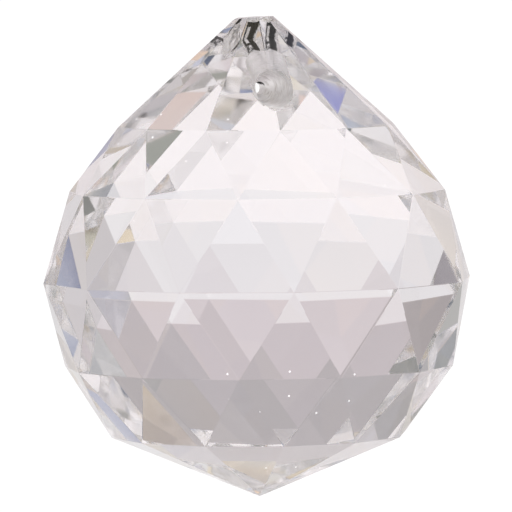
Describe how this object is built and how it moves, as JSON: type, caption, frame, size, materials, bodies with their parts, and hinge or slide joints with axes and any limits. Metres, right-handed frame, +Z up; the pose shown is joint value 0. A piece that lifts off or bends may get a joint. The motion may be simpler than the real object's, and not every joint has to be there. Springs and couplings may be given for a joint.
{
  "type": "crystal suncatcher",
  "caption": "Clear faceted crystal ball with a pointed crown and a drilled hole, hung in a window to throw light.",
  "frame": {"origin": "middle of the hanging hole, on the ball's vertical axis", "axes": "+Z up along the ball's axis towards the crown; -Y front, where the wide mouth of the hole opens"},
  "size_m": [0.04, 0.04, 0.0445],
  "materials": {
    "clear_crystal": "polished clear crystal, ground and slightly frosted inside the drilled hole and on the tip"
  },
  "bodies": {
    "root": {"crystal": "clear_crystal"}
  },
  "joints": []
}
